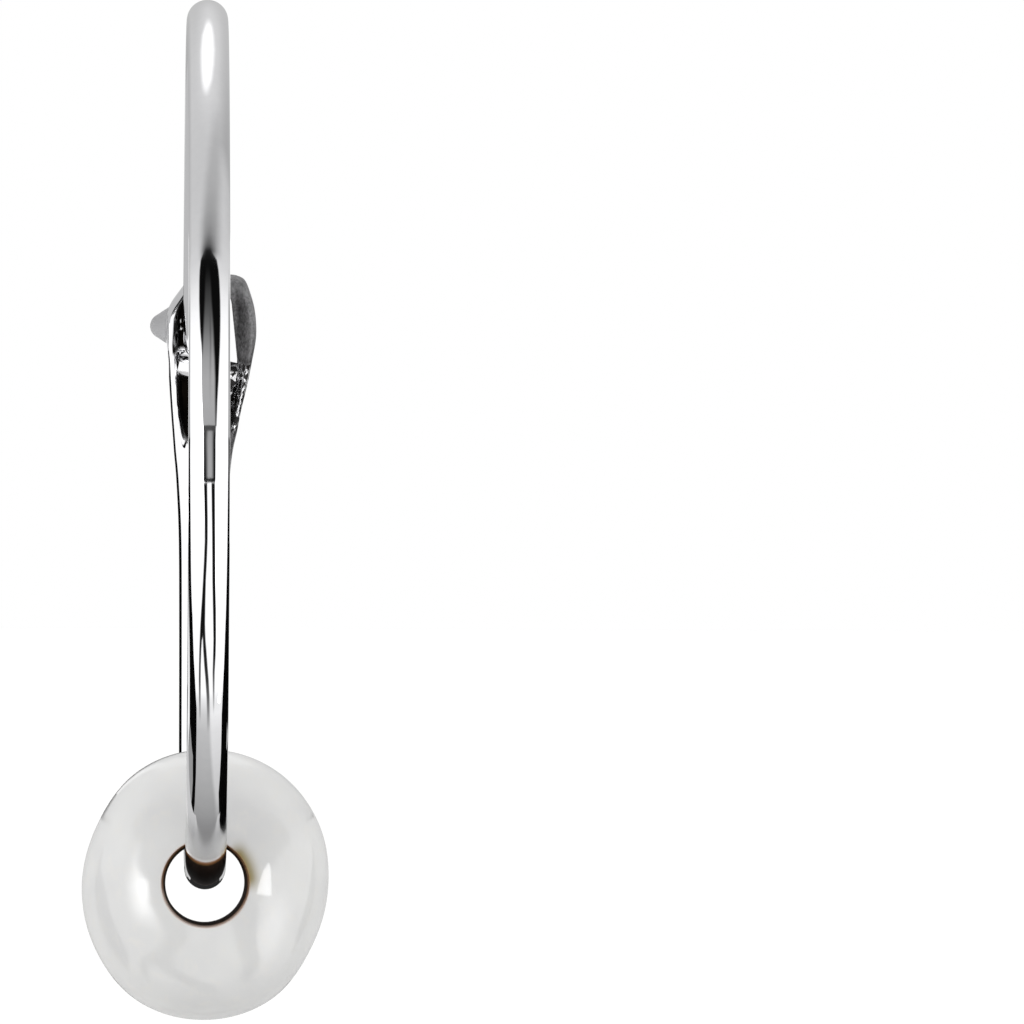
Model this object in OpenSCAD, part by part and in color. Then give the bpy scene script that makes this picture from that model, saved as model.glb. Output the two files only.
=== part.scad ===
// Round lever-back hoop earring with one large-hole pearl hanging on the hoop.
// Front of the earring faces -Y, the ear wire and the lever are at the back, +Z is up.
// Origin: the top of the hoop's inner side, the point that hangs in the ear.
// "Ring angle" is measured on the hoop's circle: 0 at the back, 90 at the top, -90 at the bottom.

/* [Hoop] */
// Diameter of the round wire
wire_d = 0.98; // [0.90:0.02:1.04]
// Radius of the hoop's centreline
hoop_r = 10.1; // [9.9:0.1:10.3]
// Ring angle where the ear wire's round tip begins
tip_angle = 14.4; // [13:0.2:16]

/* [Hinge] */
// Ring angle of the hinge, low on the back
hinge_angle = -58; // [-60:1:-56]
// Radius of the flattened eye at the end of the hoop
eye_r = 0.62; // [0.56:0.02:0.66]
// Thickness of the eye
eye_t = 0.46; // [0.40:0.02:0.50]
// Radius of the lever's two round ears
ear_r = 0.60; // [0.54:0.02:0.64]
// Diameter of the rivet
rivet_d = 0.42; // [0.36:0.02:0.44]
// Radius of the rivet's domed heads
head_r = 0.34; // [0.28:0.02:0.40]
// Height of the rivet's domed heads
head_h = 0.12; // [0.08:0.02:0.16]

/* [Catch] */
// Radius of the see-through slot's wide lower end
slot_low_r = 0.64; // [0.58:0.01:0.66]
// Radius of the slot's upper end
slot_high_r = 0.50; // [0.40:0.01:0.54]
// Ring angle of the middle of the slot's lower end
slot_low_angle = 10.9; // [10.5:0.1:12]
// Ring angle of the middle of the slot's upper end
slot_high_angle = 18.2; // [17:0.1:18.4]
// Sideways offset of the slot
slot_x = 0.18; // [0.12:0.01:0.20]
// Radius of the round bar between the slot and the pocket
bar_r = 0.34; // [0.24:0.02:0.34]
// Radius of the round tip of the knob that the lever is opened by
knob_tip_r = 0.30; // [0.24:0.02:0.32]
// Slope of the knob's flanks, in degrees
knob_slope = 33; // [28:1:36]

/* [Pearl] */
// Thickness of the pearl along its hole
pearl_t = 4.0; // [3.6:0.1:4.2]
// Squareness of the pearl's cross-section, where 2 is an ellipse
pearl_squareness = 2.2; // [2:0.1:2.6]
// Diameter of the drilled hole
hole_d = 1.9; // [1.85:0.05:2.1]
// Length of the hole's straight part, before it opens out at both ends
hole_straight = 2.9; // [2.6:0.1:3.0]
// How far the hole opens out in radius at the pearl's face
hole_flare = 0.10; // [0.05:0.01:0.15]

/* [Gaps] */
// Gap between the pearl's hole and the wire that it hangs on
hang_gap = 0.02; // [0.02:0.01:0.05]
// Gap on each side of the eye, between the lever's ears
cheek_gap = 0.035; // [0.02:0.005:0.05]
// Radial gap between the rivet and the eye it turns in
turn_gap = 0.03; // [0.02:0.01:0.05]
// Gap between the rivet and the ears it is set in
set_gap = 0.02; // [0.01:0.01:0.03]

/* [Hidden] */
$fn = 96;

wire_r = wire_d / 2;
centre_z = -(hoop_r - wire_r);
rivet_r = rivet_d / 2;
hole_r = hole_d / 2;

// The round wire stops short of the hinge, clear of the lever's ears.
shoulder_angle = hinge_angle - 4.6;
neck_h = 0.84;

// Lever: one row for each place along the ring where its form changes.
// angle: ring angle; left, right: edges in x from the hoop's plane, at the front view's left and right;
// front, back: radii of its inner and outer side; bowl: depth of the hollow in its inner side;
// left_wall, right_wall: width of the rim and the sloping wall beside the hollow;
// crown: how far the inner side falls away towards its edges.
//   angle  left  right  front   back  bowl  left_wall  right_wall  crown
LEVER_ROWS = [
    [-58.0, 0.58,  0.58,  9.74, 10.46, 0.00, 0.20, 0.20, 0.30],
    [-48.0, 0.58,  0.58,  9.78, 10.44, 0.00, 0.20, 0.20, 0.30],
    [-28.0, 0.57,  0.57,  9.80, 10.44, 0.00, 0.20, 0.20, 0.30],
    [-13.0, 0.58,  0.58,  9.80, 10.45, 0.00, 0.20, 0.20, 0.30],
    [ -5.0, 0.64,  0.64,  9.80, 10.50, 0.00, 0.24, 0.20, 0.22],
    [ -1.0, 0.70,  0.71,  9.80, 10.60, 0.02, 0.28, 0.20, 0.12],
    [  2.0, 0.74,  0.82,  9.82, 10.76, 0.22, 0.30, 0.22, 0.08],
    [  5.0, 0.78,  0.92,  9.86, 10.92, 0.66, 0.27, 0.26, 0.06],
    [  8.5, 0.82,  1.07,  9.90, 11.05, 0.78, 0.26, 0.32, 0.06],
    [ 11.5, 0.85,  1.17,  9.94, 11.10, 0.75, 0.27, 0.38, 0.06],
    [ 15.0, 0.90,  1.27, 10.00, 11.13, 0.70, 0.30, 0.44, 0.06],
    [ 18.0, 0.86,  1.24, 10.16, 11.13, 0.54, 0.30, 0.40, 0.06],
    [ 20.3, 0.57,  1.11, 10.46, 11.10, 0.22, 0.26, 0.34, 0.06],
    [ 21.5, 0.34,  0.99, 10.66, 11.06, 0.04, 0.20, 0.24, 0.05],
    [ 22.0, 0.10,  0.82, 10.69, 11.02, 0.02, 0.10, 0.12, 0.04],
];
LEVER_STEPS = 3; // cross-sections from one row to the next
BACK_POINTS = 12; // steps round the outer side of a cross-section
FRONT_POINTS = 13; // points across the inner side
back_squareness = 3.4;
rim_share = 0.42; // share of a wall's width that is flat rim
soft_edge = 0.07; // width of the rounded edge beside the hollow
near_edge = 0.012; // the first point in from that edge
// The sides lean in towards the front, as a casting's do.
lean_w = 0.04;
lean_h = 0.14;
// A crown of this depth or more runs right across the inner side.
full_crown = 0.26;
small_crown = 0.06;

// The lever's width at the hinge, and the room that its fork leaves round the eye.
lever_w = 1.16;
fork_gap = 0.13;

// The round bar's middle: sideways, on the ring, and its radius there. Its right end is the lower one.
bar_x = 0.09;
bar_angle = 9.8;
bar_path_r = 10.56;
bar_l = 1.42;
bar_slant = 12;

// The knob's place at the left of the catch: the middle of its round tip.
knob_x = 0.985;
knob_angle = 15.6;
knob_path_r = 10.70;
knob_flank_l = 0.35; // from the round tip back to its widest place
knob_root_r = 0.28; // where it ends inside the catch's wall
knob_root_l = 0.14;

// Pearl: its outline's radius at each hour of the clock, from 3 o'clock round by way of 12.
PEARL_CLOCK = [2.94, 3.10, 3.23, 3.25, 3.16, 2.95, 2.93, 3.01, 3.17, 3.19, 3.13, 2.93];
PEARL_ROUND = 48;
PEARL_RINGS = 20;
// The outline's middle is this far above the wire's lowest point.
pearl_rise = 0.083;

// The hole's top rests on the curved wire where the hole's straight part ends.
inner_r = hoop_r - wire_r;
rest_z = -sqrt(inner_r * inner_r - hole_straight * hole_straight / 4);
hole_z = rest_z + hang_gap - hole_r;
pearl_z = -(hoop_r + wire_r) + pearl_rise;

// A smooth curve through four values, at share u of the way from b to c.
function through(a, b, c, d, u) =
    b + 0.5 * u * ((c - a) + u * ((2 * a - 5 * b + 4 * c - d) + u * (3 * (b - c) + d - a)));

function clamped(i, n) = max(0, min(n - 1, i));

// The lever's row at position s, where a whole number is a row of the table.
function lever_row(s) =
    let (n = len(LEVER_ROWS), i = clamped(floor(s), n - 1), u = s - i)
    [for (k = [0:len(LEVER_ROWS[0]) - 1]) through(
        LEVER_ROWS[clamped(i - 1, n)][k], LEVER_ROWS[i][k],
        LEVER_ROWS[clamped(i + 1, n)][k], LEVER_ROWS[clamped(i + 2, n)][k], u)];

function bowed(v, power) = sign(v) * pow(abs(v), 2 / power);

// How far the inner side has fallen away at a place this far in from its edge.
function crowned(inward, edge, crown) =
    inward < edge ? crown * (1 - sqrt(1 - pow(1 - inward / edge, 2))) : 0;

// Half of the inner side, from its edge to the middle: distance in from the edge, share of the hollow's depth.
function front_half(half, wall) = let (rim = rim_share * wall) [
    [0, 0], [near_edge, 0], [0.5 * rim, 0], [rim, 0], [wall, 1], [(wall + half) / 2, 1],
];

// The lever's cross-section for one row: a rounded back, leaning sides, then the inner side with its hollow.
function lever_section(row) =
    let (
        mid = (row[2] - row[1]) / 2, half = (row[1] + row[2]) / 2, front = row[3], back = row[4],
        bowl = max(row[5], 0), crown = row[8], widest = front + crown + lean_h, front_w = half - lean_w,
        share = max(0, min(1, (crown - small_crown) / (full_crown - small_crown))),
        edge = soft_edge + share * (front_w - soft_edge),
        right = front_half(front_w, row[7]), left = front_half(front_w, row[6]), last = len(right) - 1
    )
    concat(
        [for (k = [0:BACK_POINTS]) let (t = 180 - 180 * k / BACK_POINTS)
            [mid + half * bowed(cos(t), back_squareness), widest + (back - widest) * bowed(sin(t), back_squareness)]],
        [for (p = right) [mid + front_w - p[0], front + crowned(p[0], edge, crown) + bowl * p[1]]],
        [[mid, front + bowl]],
        [for (k = [0:last]) let (p = left[last - k])
            [mid - front_w + p[0], front + crowned(p[0], edge, crown) + bowl * p[1]]]
    );

function on_ring(x, r, angle) = [x, r * cos(angle), r * sin(angle)];

// Side faces of a tube of rings with n points each, then its two end faces.
function skin(rings, n) = concat(
    [for (i = [0:rings - 2], k = [0:n - 1]) each [
        [i * n + k, i * n + (k + 1) % n, (i + 1) * n + k],
        [i * n + (k + 1) % n, (i + 1) * n + (k + 1) % n, (i + 1) * n + k],
    ]]
);

module lever_strip() {
    last = (len(LEVER_ROWS) - 1) * LEVER_STEPS;
    rows = [for (i = [0:last]) lever_row(i / LEVER_STEPS)];
    n = BACK_POINTS + 1 + FRONT_POINTS;
    sides = [for (row = rows) each [for (p = lever_section(row)) on_ring(p[0], p[1], row[0])]];
    points = concat(sides, [
        on_ring((rows[0][2] - rows[0][1]) / 2, (rows[0][3] + rows[0][4]) / 2, rows[0][0]),
        on_ring((rows[last][2] - rows[last][1]) / 2, (rows[last][3] + rows[last][4]) / 2, rows[last][0]),
    ]);
    faces = concat(
        skin(last + 1, n),
        [for (k = [0:n - 1]) [(k + 1) % n, k, n * (last + 1)]],
        [for (k = [0:n - 1]) [last * n + k, last * n + (k + 1) % n, n * (last + 1) + 1]]
    );
    polyhedron(points, faces, convexity = 6);
}

// Turns the XY plane into the hoop's plane, so that a revolve about Z runs round the hoop.
module in_ring_plane() rotate(120, [1, 1, 1]) children();

// Stands children on the hoop's plane at a ring angle, with their own X pointing outwards.
module at_angle(angle, radius = hoop_r) in_ring_plane() rotate([0, 0, angle]) translate([radius, 0, 0]) children();

module arc(from, to) in_ring_plane() rotate([0, 0, from]) rotate_extrude(angle = to - from) children();

module eye() {
    joined = 1; // degrees that the flat neck runs into the round wire
    at_angle(hinge_angle) cylinder(r = eye_r, h = eye_t, center = true);
    arc(shoulder_angle - joined, hinge_angle) translate([hoop_r - neck_h / 2, -eye_t / 2]) square([neck_h, eye_t]);
}

module hoop() color("#d8d9dc") translate([0, 0, centre_z]) difference() {
    union() {
        arc(tip_angle, shoulder_angle + 360) translate([hoop_r, 0]) circle(wire_r);
        at_angle(tip_angle) rotate([90, 0, 0]) rotate_extrude() intersection() {
            circle(wire_r);
            square([wire_r, wire_r]);
        }
        eye();
    }
    at_angle(hinge_angle) cylinder(r = rivet_r + turn_gap, h = 2 * wire_d, center = true);
}

// The slot is cut straight out through the wall: two round ends and the taper between them.
module catch_slot() {
    wall_r = 10.9; // middle of the catch's outer wall
    through_h = 1.2; // more than that wall's thickness
    apart = wall_r * (slot_high_angle - slot_low_angle) * PI / 180;
    tilt = asin((slot_low_r - slot_high_r) / apart);
    low = slot_low_r * [cos(tilt), sin(tilt)];
    high = slot_high_r * [cos(tilt), sin(tilt)] + [0, apart];
    at_angle(slot_low_angle, wall_r) translate([0, 0, slot_x]) rotate([0, 90, 0]) {
        cylinder(r = slot_low_r, h = through_h, center = true);
        translate([0, apart, 0]) cylinder(r = slot_high_r, h = through_h, center = true);
        linear_extrude(through_h, center = true) polygon([low, high, [-high[0], high[1]], [-low[0], low[1]]]);
    }
}

module catch_bar() at_angle(bar_angle, bar_path_r) translate([0, 0, bar_x]) rotate([bar_slant, 0, 0])
    cylinder(r = bar_r, h = bar_l, center = true);

// A round tip, a flank that widens from it, and a root that narrows again inside the catch's wall.
module knob() {
    flank_r = knob_tip_r * cos(knob_slope);
    flank_at = -knob_tip_r * sin(knob_slope);
    widest_r = flank_r + knob_flank_l * tan(knob_slope);
    at_angle(knob_angle, knob_path_r) translate([0, 0, -knob_x]) {
        sphere(knob_tip_r);
        translate([0, 0, flank_at]) cylinder(r1 = flank_r, r2 = widest_r, h = knob_flank_l);
        translate([0, 0, flank_at + knob_flank_l]) cylinder(r1 = widest_r, r2 = knob_root_r, h = knob_root_l);
    }
}

module lever() color("#cfd0d3") translate([0, 0, centre_z]) difference() {
    fork_w = eye_t + 2 * cheek_gap;
    past_ears = 2 * lever_w;
    union() {
        difference() {
            union() {
                lever_strip();
                knob();
            }
            catch_slot();
        }
        catch_bar();
        at_angle(hinge_angle) cylinder(r = ear_r, h = lever_w, center = true);
    }
    at_angle(hinge_angle) cylinder(r = eye_r + fork_gap, h = fork_w, center = true);
    at_angle(hinge_angle) cylinder(r = rivet_r + set_gap, h = past_ears, center = true);
}

module hinge_pin() color("#c6c7ca") translate([0, 0, centre_z]) at_angle(hinge_angle) {
    head_sunk = 0.01; // how far the shaft runs into its heads
    reach = lever_w / 2 + set_gap;
    dome_r = (head_r * head_r + head_h * head_h) / (2 * head_h);
    cylinder(r = rivet_r, h = 2 * (reach + head_sunk), center = true);
    for (end = [0, 180]) rotate([end, 0, 0]) translate([0, 0, reach]) rotate_extrude() intersection() {
        translate([0, head_h - dome_r]) circle(dome_r);
        square([dome_r, dome_r]);
    }
}

function clock_radius(angle) =
    let (s = angle / 30, i = floor(s))
    through(
        PEARL_CLOCK[(i + 11) % 12], PEARL_CLOCK[i % 12],
        PEARL_CLOCK[(i + 1) % 12], PEARL_CLOCK[(i + 2) % 12], s - i);

module pearl_body() {
    sides = [for (j = [1:PEARL_RINGS - 1]) each [for (k = [0:PEARL_ROUND - 1])
        let (lean = 180 * j / PEARL_RINGS - 90, turn = 360 * k / PEARL_ROUND)
        let (r = clock_radius(turn) * bowed(cos(lean), pearl_squareness))
        [r * cos(turn), pearl_t / 2 * bowed(sin(lean), pearl_squareness), r * sin(turn)]]];
    last = PEARL_RINGS - 2;
    n = PEARL_ROUND;
    points = concat(sides, [[0, -pearl_t / 2, 0], [0, pearl_t / 2, 0]]);
    faces = concat(
        skin(PEARL_RINGS - 1, n),
        [for (k = [0:n - 1]) [(k + 1) % n, k, n * (last + 1)]],
        [for (k = [0:n - 1]) [last * n + k, last * n + (k + 1) % n, n * (last + 1) + 1]]
    );
    polyhedron(points, faces, convexity = 4);
}

module pearl() color("#e9e7e3") translate([0, 0, centre_z]) difference() {
    translate([0, 0, pearl_z]) pearl_body();
    translate([0, 0, hole_z]) rotate([90, 0, 0]) {
        past_face = 0.1; // how far the cuts run out of the pearl's faces
        flare_l = (pearl_t - hole_straight) / 2;
        flare_r = hole_r + hole_flare * (flare_l + past_face) / flare_l;
        cylinder(r = hole_r, h = pearl_t + 2 * past_face, center = true);
        for (end = [0, 180]) rotate([end, 0, 0]) translate([0, 0, hole_straight / 2])
            cylinder(r1 = hole_r, r2 = flare_r, h = flare_l + past_face);
    }
}

hoop();
lever();
hinge_pin();
pearl();
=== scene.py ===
from math import asin, atan2, copysign, cos, degrees, exp, hypot, pi, radians, sin, sqrt, tan, tau

import bmesh
import bpy
from mathutils import Matrix, Vector


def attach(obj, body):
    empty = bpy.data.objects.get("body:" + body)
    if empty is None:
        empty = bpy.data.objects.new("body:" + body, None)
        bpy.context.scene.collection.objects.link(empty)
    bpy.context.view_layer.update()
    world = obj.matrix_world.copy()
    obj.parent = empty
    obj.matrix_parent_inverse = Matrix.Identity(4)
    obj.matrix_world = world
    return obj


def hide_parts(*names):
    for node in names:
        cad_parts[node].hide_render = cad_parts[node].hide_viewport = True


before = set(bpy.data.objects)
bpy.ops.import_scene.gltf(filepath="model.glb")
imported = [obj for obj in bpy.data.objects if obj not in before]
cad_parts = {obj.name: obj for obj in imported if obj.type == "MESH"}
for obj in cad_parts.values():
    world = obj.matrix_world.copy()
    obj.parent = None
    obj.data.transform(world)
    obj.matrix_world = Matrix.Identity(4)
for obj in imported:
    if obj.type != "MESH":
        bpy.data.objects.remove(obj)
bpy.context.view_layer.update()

mm = 0.001
ringCentreZ = -9.61  # mm, the middle of the hoop under the point that hangs in the ear
ringCentre = Vector((0, 0, ringCentreZ))
ringRadius = 10.1    # mm, to the middle of the hoop's wire
hingeAngle = -58.0   # degrees round the ring, 0 at the back, 90 at the top
drillLength = 2.0    # mm, longer than anything that is drilled


def linearColour(hexCode):  # sRGB hex to the linear values that the shaders want
    steps = [int(hexCode[i:i + 2], 16) / 255 for i in (1, 3, 5)]
    return [c / 12.92 if c <= 0.04045 else ((c + 0.055) / 1.055) ** 2.4 for c in steps] + [1.0]


def plugIn(tree, node, links):  # a link comes from a socket, or from a node's first one in use
    for name, source in links.items():
        if isinstance(source, bpy.types.Node):
            source = next(socket for socket in source.outputs if socket.enabled)
        tree.links.new(source, node.inputs[name])


def addNode(tree, kind, settings={}, links={}):  # a setting is the node's or a socket's, by name or number
    node = tree.nodes.new("ShaderNode" + kind)
    for name, value in settings.items():
        if isinstance(value, str) and value.startswith("#"):
            value = linearColour(value)
        if isinstance(name, str) and name not in node.inputs:
            setattr(node, name, value)
        else:
            node.inputs[name].default_value = value
    plugIn(tree, node, links)
    return node


def perMm(size):  # a texture's scale for a pattern of this many millimetres
    return 1 / (size * mm)


def smoothStep(low, high, value):
    t = min(max((value - low) / (high - low), 0.0), 1.0)
    return t * t * (3 - 2 * t)


def putInScene(name, data):
    thing = bpy.data.objects.new(name, data)
    bpy.context.scene.collection.objects.link(thing)
    return thing


def meshFrom(bm, name):
    mesh = bpy.data.meshes.new(name)
    bm.to_mesh(mesh)
    bm.free()
    return putInScene(name, mesh)


def newMaterial(name):
    material = bpy.data.materials.new(name)
    material.use_nodes = True
    return material, material.node_tree, material.node_tree.nodes["Principled BSDF"]


def mattPaint(name, colour, roughness, glow=0.0):
    material, tree, surface = newMaterial(name)
    for name, value in (("Base Color", linearColour(colour)), ("Roughness", roughness),
                        ("Specular IOR Level", 0.0), ("Emission Strength", glow)):
        surface.inputs[name].default_value = value
    return material


view = {
    "distance": 800.0,      # mm from the lens to the hoop's plane
    "pixelsPerMm": 42.0,    # at that distance, in an image 1024 wide
    "imageWidth": 1024, "sensorWidth": 36.0, "clip": (0.05, 20.0),
    "sideStep": -5.8,       # mm, the camera stands a little to the left of the earring
    "objectX": 205.9,       # where the hoop's middle falls in the image
    "objectY": 445.5,
    "roll": 0.17,           # degrees, the earring hangs a touch out of plumb
}


def setCamera():
    half = view["imageWidth"] / 2
    data = bpy.data.cameras.new("studioCamera")
    data.sensor_width = view["sensorWidth"]
    data.lens = view["sensorWidth"] * view["distance"] * view["pixelsPerMm"] / view["imageWidth"]
    data.clip_start, data.clip_end = view["clip"]
    camera = putInScene("studioCamera", data)
    height = ringCentreZ + (view["objectY"] - half) / view["pixelsPerMm"]
    aim = Vector(((half - view["objectX"]) / view["pixelsPerMm"], 0, height))
    place = Vector((view["sideStep"], -view["distance"], height))
    turn = (aim - place).to_track_quat("-Z", "Y").to_matrix().to_4x4()
    roll = Matrix.Rotation(radians(view["roll"]), 4, "Z")
    camera.matrix_world = Matrix.Translation(place * mm) @ turn @ roll
    bpy.context.scene.camera = camera


setCamera()
print("camera set")


# The studio round the earring: white screens at the sides, a grey ceiling, a dark room behind the camera.
# It is laid out on the wire that mirrors it: tilt is the mirroring surface's tilt in degrees, 90 at the top,
# and left and right are shares of the wire's half width. Light is linear, 1 is the white screen.
studio = {
    "backdrop": 1.0,        # what the camera sees behind the earring
    "fill": 0.38,           # the same studio as it lights matt surfaces, and the even light added there
    "even": 0.93,
    "middle": [             # tilt, light
        (-90, 0.02), (-74, 0.03), (-71, 0.3), (-68, 0.36), (-63, 0.35), (-58, 0.32), (-53, 0.4), (-49, 0.46),
        (-43.5, 0.53), (-40, 0.58), (-37, 0.72), (-35, 0.95), (-33.5, 1.2), (14, 1.2), (17, 1.1),
        (19.5, 0.98), (21.7, 0.85), (24.5, 0.73), (28, 0.67), (36, 0.63), (45, 0.64), (52, 0.66), (60, 0.65),
        (66, 0.63), (78, 0.58), (90, 0.54),
    ],
}
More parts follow.
